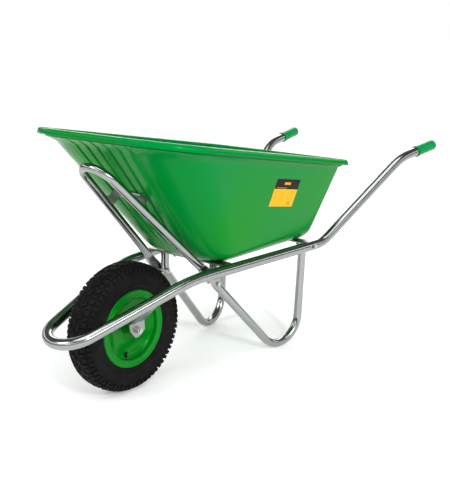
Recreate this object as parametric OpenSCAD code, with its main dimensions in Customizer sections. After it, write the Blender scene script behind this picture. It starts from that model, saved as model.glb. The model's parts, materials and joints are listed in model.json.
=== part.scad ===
// Single-wheel builder's barrow: a bent tube frame with a moulded tray, two foot loops,
// a tray support hoop and a pneumatic wheel.  Millimetres, +X towards the wheel, +Y to the
// left hand of the person pushing it, +Z up, floor at z = 0.

/* [Wheel] */
// Distance of the axle ahead of the middle of the barrow
axle_x = 524.2; // [500:0.1:550]
// Radius over the tyre, which is also the height of the axle
wheel_r = 200; // [190:1:210]
// Radius of the round section of the tyre
tyre_section_r = 50; // [46:1:52]
// Radius of the steel rim over its flanges
rim_r = 121; // [116:1:124]
// Half width between the outer faces of the rim flanges
rim_half_w = 42; // [38:1:44]
// Thickness of the pressed rim sheet
rim_sheet = 2; // [1.5:0.1:3]

/* [Frame] */
// Outside diameter of the frame tube
frame_tube_d = 34; // [30:1:36]
// Wall thickness of the frame tube
frame_wall = 2; // [1.5:0.1:3]
// Bend radius of the loop in front of the wheel
loop_bend_r = 84; // [78:1:92]
// How far each side of the loop closes in for each millimetre forward
loop_toe = 0.2014; // [0.19:0.0001:0.21]
// How far the loop drops for each millimetre forward
loop_drop = 0.2864; // [0.26:0.0001:0.31]
// Outside diameter of the leg tube
leg_tube_d = 28; // [25:1:30]
// Outside diameter of the hoop tube
hoop_tube_d = 25; // [22:1:27]
// Wall thickness of the leg and hoop tubes
small_wall = 1.8; // [1.5:0.1:2.5]

/* [Tray] */
// Height of the underside of the tray floor
tray_base_z = 362; // [360:1:368]
// Wall thickness of the moulded tray
tray_wall = 4; // [3:0.5:5]
// Half width of the rim at the front of the tray, over the lip
rim_front_half = 332; // [310:1:340]
// Half width of the rim at the rear of the tray, over the lip
rim_rear_half = 312; // [290:1:330]
// Height of the rim's plane straight above the axle
rim_height = 777; // [760:1:790]
// Rise of the rim for each millimetre forward
rim_rise = 0.172; // [0.15:0.001:0.19]
// How far the lip stands out from the wall
lip_out = 22; // [16:1:28]
// Depth of the turned-down lip
lip_drop = 19; // [14:1:24]
// How far the ribs stand out from the front wall
rib_height = 7; // [4:0.5:9]
// Number of ribs across the front wall
rib_count = 6; // [4:1:8]

/* [Grips and fixings] */
// Outside diameter of the grips
grip_d = 38; // [37:0.5:42]
// Length of the grips
grip_length = 116; // [100:1:125]
// Diameter of the frame and tray bolts
bolt_d = 8; // [6:1:10]
// Diameter of the axle bolt
axle_bolt_d = 12; // [10:1:14]

/* [Hidden] */
$fn = 64;

// Corner points of the frame tube's centre line on the left side
rail_bend_to_axle = 140;
rail_front = [axle_x - rail_bend_to_axle, 151, 343];
rail_rear = [axle_x - 740, 217, 349];
handle_knee = [axle_x - 1120, 300, 609];
handle_end = [axle_x - 1323, 323, 637];
loop_apex = rail_front + [1, 0, -loop_drop] * rail_front.y / loop_toe - [0, rail_front.y, 0];
loop_side_bend_r = 380;
rail_bend_r = 110;
knee_bend_r = 180;
frame_r = frame_tube_d / 2;

// Corner points of the left leg: top of the front strut, its bend, the foot and the rear top
crossbar_t = 5;
crossbar_w = 42;
crossbar_z = tray_base_z - crossbar_t;
leg_r = leg_tube_d / 2;
leg_top_gap = 1.2;
leg_front_top = [axle_x - 288, 106, crossbar_z - leg_top_gap];
leg_front_bend = [axle_x - 288, 108, 290];
leg_foot = [axle_x - 648, 174, -115.25];
leg_rear_top = [axle_x - 676, 178.5, crossbar_z - leg_top_gap];
leg_front_bend_r = 60;
leg_foot_bend_r = 90;
leg_bolt_z = 349;
leg_bolt_x = leg_rear_top.x;

// Support hoop: its left side runs from the leg's bend up the slope of the tray front
hoop_low = [axle_x - 216, 114, 360];
hoop_high = [axle_x + 61.3, 62.1, 648];
hoop_bend_r = 60;
hoop_r = hoop_tube_d / 2;
hoop_dir = unit(hoop_high - hoop_low);
hoop_apex = hoop_low + hoop_dir * hoop_low.y / -hoop_dir.y;
hoop_bolt = [axle_x - 283, leg_front_bend.y + leg_r + 5.6, 291];
hoop_plate_t = 6;
hoop_plate_w = 34;
hoop_plate_l = 43;
strap_z = 600;
strap_t = 4;
strap_w = 32;
strap_gap = 0.4;
strap_inset = 12;
strap_foot = 16;

// Running parts on the axle, measured along it from the wheel's middle
bracket_in = 50;
bracket_t = 4;
washer_t = 2.5;
hub_half = 40;
hub_r = 19;
bearing_w = 10;
bearing_in = 29;
bearing_r = 16;
ball_ring_r = 11.1;
ball_r = 2.4;
ball_count = 9;
sleeve_r = 8.4;
bore_gap = 0.05;
axle_r = axle_bolt_d / 2;

// Valve, measured in the wheel: radius from the axle and distance along it
valve_angle = -75;
valve_root = [100.6, 24];
valve_tip = [74, 24];
valve_r = 4.5;
valve_bore_r = 1.5;

// Tray outline at the floor and at the lip: [front x, rear x, front half width,
// rear half width, front corner radius, rear corner radius]
floor_outline = [axle_x - 237, axle_x - 735, 168, 178, 102, 52];
lip_outline = [axle_x + 128, axle_x - 788, rim_front_half, rim_rear_half, 185, 70];
floor_fillet = 43;
corner_steps = 8;
side_steps = 6;
rib_steps = 6;
tray_bolt_front = [axle_x - 288, 62];
tray_bolt_rear = [axle_x - 676, 92];

function unit(v) = v / norm(v);
function mirrored(points) = [for (p = points) [p.x, -p.y, p.z]];
function reversed(list) = [for (i = [len(list) - 1:-1:0]) list[i]];

// ---- Bent tubes: straight lengths and elbows along a list of corner points ----

function turn(points, i) = acos(unit(points[i] - points[i - 1]) * unit(points[i + 1] - points[i]));
function trim(points, bends, i) =
    i == 0 || i == len(points) - 1 ? 0 : bends[i - 1] * tan(turn(points, i) / 2);

module straight(from, to, radius) {
    run = to - from;
    translate(from)
        rotate([0, acos(run.z / norm(run)), atan2(run.y, run.x)])
            cylinder(h = norm(run), r = radius);
}

// An elbow is a hair fatter than the straight lengths, which run a little way into it
elbow_swell = 0.25;
joint_lap = 1;

module elbow(points, bends, i, radius) {
    before = unit(points[i] - points[i - 1]);
    after = unit(points[i + 1] - points[i]);
    inward = unit(after - before * (before * after));
    upright = cross(-inward, before);
    translate(points[i] - before * trim(points, bends, i) + inward * bends[i - 1])
        rotate([atan2(before.z, upright.z), asin(inward.z), atan2(-inward.y, -inward.x)])
            rotate_extrude(angle = turn(points, i))
                translate([bends[i - 1], 0])
                    circle(r = radius + elbow_swell);
}

module rod(points, bends, radius, past_ends = 0) {
    last = len(points) - 1;
    for (i = [0:last - 1]) {
        way = unit(points[i + 1] - points[i]);
        cut_start = trim(points, bends, i) - (i == 0 ? past_ends : joint_lap);
        cut_end = trim(points, bends, i + 1) - (i == last - 1 ? past_ends : joint_lap);
        straight(points[i] + way * cut_start, points[i + 1] - way * cut_end, radius);
    }
    for (i = [1:last - 1])
        elbow(points, bends, i, radius);
}

module bent_tube(points, bends, radius, wall) {
    difference() {
        rod(points, bends, radius);
        rod(points, bends, radius - wall, past_ends = 1);
    }
}

// ---- Fixings ----

module hex_head(across_flats, height) {
    cylinder(h = height, r = across_flats / sqrt(3), $fn = 6);
}

module ring(outer_r, inner_r, height) {
    difference() {
        cylinder(h = height, r = outer_r);
        translate([0, 0, -1])
            cylinder(h = height + 2, r = inner_r);
    }
}

module hex_nut(across_flats, height, bore_r) {
    difference() {
        hex_head(across_flats, height);
        translate([0, 0, -1])
            cylinder(h = height + 2, r = bore_r);
    }
}

module both_sides() {
    children();
    mirror([0, 1, 0])
        children();
}

// Turns a part that is made along Z so that it points to the left, at a place
module pointing_left(place) {
    translate(place)
        rotate([-90, 0, 0])
            children();
}

// ---- Frame ----

left_frame = [loop_apex, rail_front, rail_rear, handle_knee, handle_end];
frame_points = concat(reversed(mirrored([rail_front, rail_rear, handle_knee, handle_end])), left_frame);
frame_bends = [knee_bend_r, rail_bend_r, loop_side_bend_r, loop_bend_r,
               loop_side_bend_r, rail_bend_r, knee_bend_r];

module frame_tube() {
    color("lightgray")
        difference() {
            bent_tube(frame_points, frame_bends, frame_r, frame_wall);
            both_sides()
                leg_bolt_hole();
        }
}

module leg_bolt_hole() {
    pointing_left([leg_bolt_x, leg_rear_top.y - leg_r - 10, leg_bolt_z])
        cylinder(h = 90, r = bolt_d / 2 + bore_gap);
}

// ---- Grips ----

grip_way = unit(handle_end - handle_knee);
grip_end_t = 6;
grip_start = handle_end - grip_way * (grip_length - grip_end_t);
grip_edge_r = 8;
collar_w = 5;
collar_r = grip_d / 2 + 2;

module grip() {
    translate(grip_start)
        rotate([0, acos(grip_way.z), atan2(grip_way.y, grip_way.x)])
            rotate_extrude()
                difference() {
                    union() {
                        square([grip_d / 2, grip_length - grip_edge_r]);
                        square([grip_d / 2 - grip_edge_r, grip_length]);
                        translate([grip_d / 2 - grip_edge_r, grip_length - grip_edge_r])
                            intersection() {
                                circle(r = grip_edge_r);
                                square(grip_edge_r);
                            }
                        square([collar_r, collar_w]);
                    }
                    translate([0, -1])
                        square([frame_r, grip_length - grip_end_t + 1]);
                }
}

module grip_left() {
    color("limegreen")
        grip();
}

module grip_right() {
    color("limegreen")
        mirror([0, 1, 0])
            grip();
}

// ---- Legs ----

leg_points = [leg_front_top, leg_front_bend, leg_foot, leg_rear_top];
leg_bends = [leg_front_bend_r, leg_foot_bend_r];

module leg() {
    difference() {
        bent_tube(leg_points, leg_bends, leg_r, small_wall);
        leg_bolt_hole();
        pointing_left([hoop_bolt.x, hoop_bolt.y - 60, hoop_bolt.z])
            cylinder(h = 80, r = bolt_d / 2 + bore_gap);
    }
}

module leg_left() {
    color("silver")
        leg();
}

module leg_right() {
    color("silver")
        mirror([0, 1, 0])
            leg();
}

leg_bolt_in = leg_rear_top.y - leg_r - 1;
leg_bolt_out = 230;
bolt_head_t = 5.5;
bolt_past_nut = 4;
nut_t = 6.5;
bolt_af = 13;
small_washer_t = 1.6;

module leg_bolts() {
    color("gainsboro")
        both_sides() {
            pointing_left([leg_bolt_x, leg_bolt_in - nut_t - bolt_past_nut, leg_bolt_z])
                cylinder(h = leg_bolt_out - leg_bolt_in + nut_t + bolt_past_nut, r = bolt_d / 2);
            pointing_left([leg_bolt_x, leg_bolt_out, leg_bolt_z])
                hex_head(bolt_af, bolt_head_t);
        }
}

module leg_washers() {
    color("gainsboro")
        both_sides()
            pointing_left([leg_bolt_x, leg_bolt_out - small_washer_t, leg_bolt_z])
                ring(bolt_d, bolt_d / 2, small_washer_t);
}

module leg_nuts() {
    color("gainsboro")
        both_sides()
            pointing_left([leg_bolt_x, leg_bolt_in - nut_t, leg_bolt_z])
                hex_nut(bolt_af, nut_t, bolt_d / 2);
}

// ---- Support hoop with flattened ends ----

hoop_points = [hoop_low, hoop_apex, mirrored([hoop_low])[0]];

// Outline of a flattened end, up the slope from its rounded tip
plate_tip_steps = 6;
plate_outline = concat(
    [for (i = [0:plate_tip_steps])
        let (angle = 180 + 180 * i / plate_tip_steps)
        hoop_plate_w / 2 * [cos(angle), sin(angle)]],
    [[hoop_plate_w / 2, hoop_plate_l], [-hoop_plate_w / 2, hoop_plate_l]]);

// The squeezed length between the round tube and the plate: its ends lie inside both
hoop_plate_lean = 45;
hoop_collar_l = 3;
hoop_collar_swell = 0.5;
squeeze_lap = 2;
squeeze_inset = 1;

module hoop_end() {
    hull() {
        translate(hoop_low)
            rotate([0, acos(hoop_dir.z), atan2(hoop_dir.y, hoop_dir.x)])
                cylinder(h = hoop_collar_l, r = hoop_r + hoop_collar_swell, $fn = 24);
        translate(hoop_bolt)
            rotate([0, hoop_plate_lean, 0])
                translate([0, 0, hoop_plate_l - squeeze_lap])
                    cube([hoop_plate_w - squeeze_inset, hoop_plate_t - squeeze_inset, squeeze_inset],
                         center = true);
    }
    difference() {
        translate(hoop_bolt)
            rotate([0, hoop_plate_lean, 0])
                rotate([90, 0, 0])
                    translate([0, 0, -hoop_plate_t / 2])
                        linear_extrude(hoop_plate_t)
                            polygon(plate_outline);
        translate(hoop_bolt)
            rotate([90, 0, 0])
                cylinder(h = 2 * hoop_plate_t, r = bolt_d / 2 + bore_gap, center = true);
    }
}

module support_hoop() {
    color("silver") {
        bent_tube(hoop_points, [hoop_bend_r], hoop_r, small_wall);
        both_sides()
            hoop_end();
    }
}

hoop_bolt_out = hoop_bolt.y + hoop_plate_t / 2;
hoop_nut_y = leg_front_bend.y - leg_r - 1 - nut_t;
hoop_bolt_in = hoop_nut_y - bolt_past_nut;

module hoop_bolts() {
    color("gainsboro")
        both_sides() {
            pointing_left([hoop_bolt.x, hoop_bolt_in, hoop_bolt.z])
                cylinder(h = hoop_bolt_out - hoop_bolt_in, r = bolt_d / 2);
            pointing_left([hoop_bolt.x, hoop_bolt_out, hoop_bolt.z])
                hex_head(bolt_af, bolt_head_t);
        }
}

module hoop_nuts() {
    color("gainsboro")
        both_sides()
            pointing_left([hoop_bolt.x, hoop_nut_y, hoop_bolt.z])
                hex_nut(bolt_af, nut_t, bolt_d / 2);
}

// ---- Crossbars under the tray ----

front_bar_reach = 163;
rear_bar_reach = 204;

module crossbar(place_x, reach, bolt_y) {
    difference() {
        translate([place_x - crossbar_w / 2, -reach, crossbar_z])
            cube([crossbar_w, 2 * reach, crossbar_t]);
        both_sides()
            straight(rail_front, rail_rear, frame_r + bore_gap);
        for (side = [-1, 1])
            translate([place_x, side * bolt_y, crossbar_z - 1])
                cylinder(h = crossbar_t + 2, r = bolt_d / 2 + bore_gap);
    }
}

module front_crossbar() {
    color("silver")
        crossbar(tray_bolt_front.x, front_bar_reach, tray_bolt_front.y);
}

module rear_crossbar() {
    color("silver")
        crossbar(tray_bolt_rear.x, rear_bar_reach, tray_bolt_rear.y);
}

// ---- Tray ----

// Points of one rounded corner of an outline in plan, from the side before it to the side after
function corner(at, before, after, radius) =
    let (to_before = unit(before - at),
         to_after = unit(after - at),
         half = acos(to_before * to_after) / 2,
         middle = at + unit(to_before + to_after) * radius / sin(half),
         first = at + to_before * radius / tan(half) - middle,
         last = at + to_after * radius / tan(half) - middle,
         way = cross(first, last) > 0 ? 1 : -1,
         start = atan2(first.y, first.x))
    [for (i = [0:corner_steps])
        let (angle = start + way * (180 - 2 * half) * i / corner_steps)
        middle + radius * [cos(angle), sin(angle)]];

// Closed outline of the tray in plan, grown outwards by grow, from the rear left corner
// forwards along the left side, across the front and back along the right side
function outline(o, grow) =
    let (front = o[0] + grow,
         rear = o[1] - grow,
         front_half = o[2] + grow,
         rear_half = o[3] + grow,
         front_r = max(o[4] + grow, 3),
         rear_r = max(o[5] + grow, 3),
         front_left = [front, front_half],
         rear_left = [rear, rear_half],
         front_right = [front, -front_half],
         rear_right = [rear, -rear_half],
         front_bend = corner(front_left, rear_left, front_right, front_r),
         rear_bend = corner(rear_left, rear_right, front_left, rear_r))
    let (left = concat(rear_bend, side_points(rear_bend[corner_steps], front_bend[0]), front_bend))
    concat(left, front_flat(front_bend[corner_steps]), reversed([for (p = left) [p.x, -p.y]]));

// Points along a side wall, so that its slight twist is followed
function side_points(from, to) =
    [for (i = [1:side_steps - 1]) from + (to - from) * i / side_steps];

// Points between the two front corners, close enough together to carry the ribs
flat_points = rib_count * rib_steps - 1;
function front_flat(left_end) =
    [for (i = [1:flat_points]) [left_end.x, left_end.y * (1 - 2 * i / (flat_points + 1))]];

first_flat = 2 * (corner_steps + 1) + side_steps - 1;
outline_count = 2 * first_flat + flat_points;

// Outward push of the ribs at one outline point: a row of rounded ribs on the front wall
function rib_push(i) =
    i < first_flat || i >= first_flat + flat_points
        ? 0
        : pow(sin(180 * rib_count * (i - first_flat + 1) / (flat_points + 1)), 2);

function rim_z(x) = rim_height + rim_rise * (x - axle_x);

// One ring of tray points: up is 0 at the floor and 1 at the rim, grow moves it outwards,
// rib is the height of the ribs there and lift raises it
function tray_ring(up, grow, rib, lift = 0) =
    let (low = outline(floor_outline, grow),
         high = outline(lip_outline, grow - lip_out))
    [for (i = [0:outline_count - 1])
        let (flat = low[i] + (high[i] - low[i]) * up,
             top_z = rim_z(high[i].x))
        [flat.x + rib * rib_push(i),
         flat.y,
         tray_base_z + (top_z - tray_base_z) * up + lift]];

fillet_steps = 4;
function fillet_ring(angle, inset) =
    let (low = outline(floor_outline, -inset - (floor_fillet - inset) * (1 - sin(angle))),
         high = outline(lip_outline, -lip_out),
         rise = inset + (floor_fillet - inset) * (1 - cos(angle)))
    [for (i = [0:outline_count - 1])
        let (top_z = rim_z(high[i].x),
             up = rise / (top_z - tray_base_z),
             flat = low[i] + (high[i] - low[i]) * up)
        [flat.x, flat.y, tray_base_z + rise]];

wall_levels = [0.24, 0.39, 0.54, 0.69, 0.84];
outer_rings = concat(
    [for (k = [0:fillet_steps]) fillet_ring(90 * k / fillet_steps, 0)],
    [tray_ring(0.16, 0, rib_height / 2)],
    [for (up = wall_levels) tray_ring(up, 0, rib_height)],
    [tray_ring(0.92, 0, 0)]);
lip_rings = [
    tray_ring(1, 0, 0, -4),
    tray_ring(1, lip_out - 8, 0, -7),
    tray_ring(1, lip_out - 4, 0, -lip_drop),
    tray_ring(1, lip_out, 0, -lip_drop),
    tray_ring(1, lip_out - 1, 0, -9),
    tray_ring(1, lip_out - 6, 0, -3),
    tray_ring(1, lip_out - 14, 0, 0),
    tray_ring(1, 0, 0, -0.5),
    tray_ring(1, -tray_wall, 0, -4)];
inner_rings = concat(
    [tray_ring(0.92, -tray_wall, 0)],
    [for (up = reversed(wall_levels)) tray_ring(up, -tray_wall, rib_height)],
    [tray_ring(0.16, -tray_wall, rib_height / 2)],
    [for (k = [fillet_steps:-1:0]) fillet_ring(90 * k / fillet_steps, tray_wall)]);
tray_rings = concat(outer_rings, lip_rings, inner_rings);

// Skin over rings of the same number of points, closed at both ends by a flat face
function skin(rings) =
    let (n = len(rings[0]))
    concat(
        [[for (i = [n - 1:-1:0]) i]],
        [for (k = [0:len(rings) - 2], i = [0:n - 1])
            [k * n + i, k * n + (i + 1) % n, (k + 1) * n + (i + 1) % n]],
        [for (k = [0:len(rings) - 2], i = [0:n - 1])
            [k * n + i, (k + 1) * n + (i + 1) % n, (k + 1) * n + i]],
        [[for (i = [0:n - 1]) (len(rings) - 1) * n + i]]);

module tray() {
    color("green")
        difference() {
            polyhedron(points = [for (r = tray_rings, p = r) p], faces = skin(tray_rings));
            for (side = [-1, 1], place = [tray_bolt_front, tray_bolt_rear])
                translate([place.x, side * place.y, tray_base_z - 1])
                    cylinder(h = 2 * tray_wall, r = bolt_d / 2 + bore_gap);
            strap_bolt_holes();
        }
}

tray_head_t = 3;
tray_washer_z = crossbar_z - small_washer_t;
tray_nut_z = tray_washer_z - nut_t;
tray_bolt_l = tray_base_z + tray_wall - tray_nut_z + bolt_past_nut;

module tray_bolts() {
    color("gainsboro")
        for (side = [-1, 1], place = [tray_bolt_front, tray_bolt_rear])
            translate([place.x, side * place.y, tray_base_z + tray_wall]) {
                cylinder(h = tray_head_t, r = bolt_d);
                translate([0, 0, -tray_bolt_l])
                    cylinder(h = tray_bolt_l, r = bolt_d / 2);
            }
}

module tray_washers() {
    color("gainsboro")
        for (side = [-1, 1], place = [tray_bolt_front, tray_bolt_rear])
            translate([place.x, side * place.y, tray_washer_z])
                ring(bolt_d, bolt_d / 2, small_washer_t);
}

module tray_nuts() {
    color("gainsboro")
        for (side = [-1, 1], place = [tray_bolt_front, tray_bolt_rear])
            translate([place.x, side * place.y, tray_nut_z])
                hex_nut(bolt_af, nut_t, bolt_d / 2);
}

// ---- Label on the left wall ----

// Place on the left wall at a height fraction and a fraction along its straight length
function wall_place(along, up, grow) =
    let (low = outline(floor_outline, grow),
         high = outline(lip_outline, grow - lip_out),
         a = corner_steps,
         b = corner_steps + side_steps,
         low_at = low[a] + (low[b] - low[a]) * along,
         high_at = high[a] + (high[b] - high[a]) * along,
         flat = low_at + (high_at - low_at) * up)
    [flat.x, flat.y, tray_base_z + (rim_z(high_at.x) - tray_base_z) * up];

// The same by x and z, closing in on the fractions step by step
function wall_at(x, z, grow, along = 0.5, up = 0.5, steps = 12) =
    let (place = wall_place(along, up, grow),
         dx = (x - place.x) / 560,
         dz = (z - place.z) / 330)
    steps == 0
        ? place
        : wall_at(x, z, grow, along + dx, up + dz, steps - 1);

label_rear = axle_x - 530;
label_front = axle_x - 403;
label_low = 515;
label_high = 606;
label_t = 0.6;
label_gap = 0.4;
label_cells = 4;
function label_layer(grow) =
    [for (i = [0:label_cells], j = [0:label_cells])
        let (x = label_rear + (label_front - label_rear) * i / label_cells,
             z = label_low + (label_high - label_low) * j / label_cells)
        wall_at(x, z + rim_rise * (x - label_rear), grow)];

module tray_label() {
    n = label_cells + 1;
    rim = concat([for (i = [0:n - 1]) i * n], [for (j = [1:n - 1]) (n - 1) * n + j],
                 [for (i = [n - 2:-1:0]) i * n + n - 1], [for (j = [n - 2:-1:1]) j]);
    top = n * n;
    color("orange")
        polyhedron(
            points = concat(label_layer(label_gap), label_layer(label_gap + label_t)),
            faces = concat(
                [for (i = [0:n - 2], j = [0:n - 2]) [i * n + j, i * n + j + 1, (i + 1) * n + j + 1]],
                [for (i = [0:n - 2], j = [0:n - 2]) [i * n + j, (i + 1) * n + j + 1, (i + 1) * n + j]],
                [for (i = [0:n - 2], j = [0:n - 2])
                    [top + i * n + j, top + (i + 1) * n + j + 1, top + i * n + j + 1]],
                [for (i = [0:n - 2], j = [0:n - 2])
                    [top + i * n + j, top + (i + 1) * n + j, top + (i + 1) * n + j + 1]],
                [for (k = [0:len(rim) - 1])
                    [rim[k], rim[(k + 1) % len(rim)], top + rim[(k + 1) % len(rim)]]],
                [for (k = [0:len(rim) - 1])
                    [rim[k], top + rim[(k + 1) % len(rim)], top + rim[k]]]));
}

// ---- Strap between the hoop sides, bolted to the front wall ----

hoop_way = unit([hoop_dir.x, 0, hoop_dir.z]);
strap_along = (strap_z - hoop_low.z) / hoop_way.z;
strap_half = hoop_low.y + strap_along * hoop_dir.y / norm([hoop_dir.x, hoop_dir.z]);
strap_back = 34;
strap_step_y = strap_half - strap_inset;
strap_bolt_y = 24;
strap_bolt_l = 30;
wall_front_floor = floor_outline[0];
wall_front_lip = lip_outline[0] - lip_out;
wall_slope = atan2(rim_z(wall_front_lip) - tray_base_z, wall_front_lip - wall_front_floor);

// Frame of the strap: X forwards out of the tray wall, Z up the slope of the wall
module on_front_wall(out, side) {
    up_wall = (strap_z - tray_base_z) / sin(wall_slope);
    translate([wall_front_floor + rib_height, side, tray_base_z])
        rotate([0, 90 - wall_slope, 0])
            translate([out, 0, up_wall])
                children();
}

module strap_bolt_holes() {
    for (side = [-1, 1])
        on_front_wall(0, side * strap_bolt_y)
            rotate([0, 90, 0])
                cylinder(h = 60, r = bolt_d / 2 + bore_gap, center = true);
}

module hoop_strap() {
    color("silver")
        difference() {
            union() {
                on_front_wall(strap_gap + strap_t / 2, 0)
                    cube([strap_t, 2 * strap_step_y, strap_w], center = true);
                both_sides()
                    on_front_wall(strap_gap, strap_step_y - strap_t)
                        translate([0, 0, -strap_w / 2])
                            cube([strap_back, strap_t, strap_w]);
                both_sides()
                    on_front_wall(strap_gap + strap_back - strap_t, strap_step_y - strap_t)
                        translate([0, 0, -strap_w / 2])
                            cube([strap_t, strap_foot, strap_w]);
            }
            strap_bolt_holes();
            both_sides()
                straight(hoop_low, hoop_apex, hoop_r + bore_gap);
        }
}

module strap_bolts() {
    color("gainsboro")
        for (side = [-1, 1])
            on_front_wall(strap_gap + strap_t, side * strap_bolt_y)
                rotate([0, 90, 0]) {
                    translate([0, 0, -strap_bolt_l])
                        cylinder(h = strap_bolt_l, r = bolt_d / 2);
                    hex_head(bolt_af, bolt_head_t);
                }
}

// The washers stand clear of the ribbed inside of the wall
strap_washer_out = -tray_wall - rib_height - 3;

module strap_washers() {
    color("gainsboro")
        for (side = [-1, 1])
            on_front_wall(strap_washer_out, side * strap_bolt_y)
                rotate([0, 90, 0])
                    ring(bolt_d, bolt_d / 2, small_washer_t);
}

module strap_nuts() {
    color("gainsboro")
        for (side = [-1, 1])
            on_front_wall(strap_washer_out - nut_t, side * strap_bolt_y)
                rotate([0, 90, 0])
                    hex_nut(bolt_af, nut_t, bolt_d / 2);
}

// ---- Brackets that carry the axle ----

rail_at_axle = rail_front + rail_bend_to_axle * [1, -loop_toe, -loop_drop];
bracket_half_low = 31;
bracket_half_high = 40;
bracket_fold_z = wheel_r + 25;
bracket_tip_z = wheel_r - 23;
bracket_into_rail = 4;

module axle_bracket() {
    slant_low = [bracket_in, bracket_fold_z];
    slant_high = [rail_at_axle.y - bracket_into_rail, rail_at_axle.z - bracket_into_rail];
    difference() {
        union() {
            translate([axle_x, bracket_in, 0])
                rotate([90, 0, 0])
                    mirror([0, 0, 1])
                        linear_extrude(bracket_t)
                            polygon([[-bracket_half_low, bracket_fold_z],
                                     [-bracket_half_low, wheel_r - 6],
                                     [-12, bracket_tip_z + 3], [-4, bracket_tip_z],
                                     [8, bracket_tip_z],
                                     [bracket_half_low - 3, wheel_r + 2],
                                     [bracket_half_low, bracket_fold_z]]);
            translate([axle_x, slant_low.x, slant_low.y])
                rotate([-atan2(slant_high.x - slant_low.x, slant_high.y - slant_low.y), 0, 0])
                    rotate([90, 0, 0])
                        mirror([0, 0, 1])
                            linear_extrude(bracket_t)
                                polygon([[-bracket_half_low, 0], [bracket_half_low, 0],
                                         [bracket_half_high, norm(slant_high - slant_low)],
                                         [-bracket_half_high, norm(slant_high - slant_low)]]);
        }
        pointing_left([axle_x, bracket_in - 1, wheel_r])
            cylinder(h = bracket_t + 2, r = axle_r + bore_gap);
        straight(rail_front, loop_apex, frame_r + bore_gap);
    }
}

module axle_bracket_left() {
    color("silver")
        axle_bracket();
}

module axle_bracket_right() {
    color("silver")
        mirror([0, 1, 0])
            axle_bracket();
}

// ---- Axle and bearings ----

module at_axle(along) {
    translate([axle_x, along, wheel_r])
        rotate([-90, 0, 0])
            children();
}

bracket_out = bracket_in + bracket_t;
axle_head_t = 8;
axle_nut_t = 10;
axle_af = 19;

module axle_bolt() {
    color("gainsboro") {
        at_axle(-bracket_out - washer_t - axle_head_t)
            hex_head(axle_af, axle_head_t);
        at_axle(-bracket_out - washer_t)
            cylinder(h = 2 * (bracket_out + washer_t) + axle_nut_t + 4, r = axle_r);
    }
}

module axle_washers() {
    color("gainsboro")
        both_sides()
            at_axle(bracket_out)
                ring(axle_bolt_d, axle_r, washer_t);
}

module axle_nut() {
    color("gainsboro")
        at_axle(bracket_out + washer_t)
            hex_nut(axle_af, axle_nut_t, axle_r);
}

module axle_spacers() {
    color("silver")
        both_sides()
            at_axle(bearing_in + bearing_w)
                ring(sleeve_r, axle_r, bracket_in - bearing_in - bearing_w);
}

module axle_sleeve() {
    color("silver")
        at_axle(-bearing_in)
            ring(sleeve_r, axle_r, 2 * bearing_in);
}

module bearing_inner_rings() {
    color("gray")
        both_sides()
            at_axle(bearing_in)
                ring(sleeve_r, axle_r, bearing_w);
}

module bearing_outer_rings() {
    color("gray")
        both_sides()
            at_axle(bearing_in)
                ring(bearing_r, ball_ring_r + ball_r, bearing_w);
}

module bearing_balls() {
    color("gainsboro")
        both_sides()
            at_axle(bearing_in + bearing_w / 2)
                for (i = [0:ball_count - 1])
                    rotate(i * 360 / ball_count)
                        translate([ball_ring_r, 0, 0])
                            sphere(r = ball_r);
}

module hub_tube() {
    color("green")
        at_axle(-hub_half)
            ring(hub_r, bearing_r, 2 * hub_half);
}

// ---- Rim, tyre and inner tube ----

// Centre line of one pressed rim half: [radius, distance from the middle of the wheel]
bowl_steps = 8;
rim_line = concat(
    [[hub_r, 3], [36, 3]],
    [for (i = [1:bowl_steps]) [36 + 50 * i / bowl_steps, 3 + 18 * pow(i / bowl_steps, 1.7)]],
    [[91, 24], [96, 26.5], [97, rim_half_w - 5], [99.5, rim_half_w - 2],
     [105, rim_half_w - 1], [rim_r - 5, rim_half_w], [rim_r - 1, rim_half_w + 0.5]]);

function across(path, i) =
    let (way = unit(path[min(i + 1, len(path) - 1)] - path[max(i - 1, 0)])) [-way.y, way.x];

function sheet(path, t) = concat(
    [for (i = [0:len(path) - 1]) path[i] + across(path, i) * t / 2],
    [for (i = [len(path) - 1:-1:0]) path[i] - across(path, i) * t / 2]);

module rim_half() {
    difference() {
        at_axle(0)
            rotate_extrude()
                polygon(sheet(rim_line, rim_sheet));
        valve_hole();
    }
}

module rim_half_left() {
    color("green")
        rim_half();
}

module rim_half_right() {
    color("green")
        at_axle(0)
            rotate_extrude()
                polygon([for (p = sheet(rim_line, rim_sheet)) [p.x, -p.y]]);
}

carcass_r = tyre_section_r - 4;
section_at = wheel_r - tyre_section_r;
bead_r = 100.5;
tyre_wall = 8;
groove_depth = 4;
groove_w = 4;
tread_from = section_at + 18;
tread_grooves = [-30, -12, 12, 30];
bead_half = rim_half_w - 4.6;

module carcass(inset, bead_in) {
    translate([section_at, 0])
        circle(r = carcass_r - inset);
    polygon([[section_at, carcass_r - inset], [bead_in, bead_half - inset],
             [bead_in, inset - bead_half], [section_at, inset - carcass_r]]);
}

module tyre() {
    color("dimgray")
        at_axle(0)
            rotate_extrude()
                difference() {
                    union() {
                        carcass(0, bead_r);
                        intersection() {
                            translate([section_at, 0])
                                circle(r = tyre_section_r);
                            translate([tread_from, -tyre_section_r])
                                square([tyre_section_r, 2 * tyre_section_r]);
                        }
                    }
                    carcass(tyre_wall, bead_r - 4);
                    for (groove = tread_grooves) {
                        surface = section_at + sqrt(pow(tyre_section_r, 2) - groove * groove);
                        translate([surface - groove_depth, groove - groove_w / 2])
                            square([2 * groove_depth, groove_w]);
                    }
                }
}

tube_wall = 2;
tube_gap = 0.2;
tube_inset = tyre_wall + tube_gap;
tube_bead_r = bead_r + 0.5;

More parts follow.
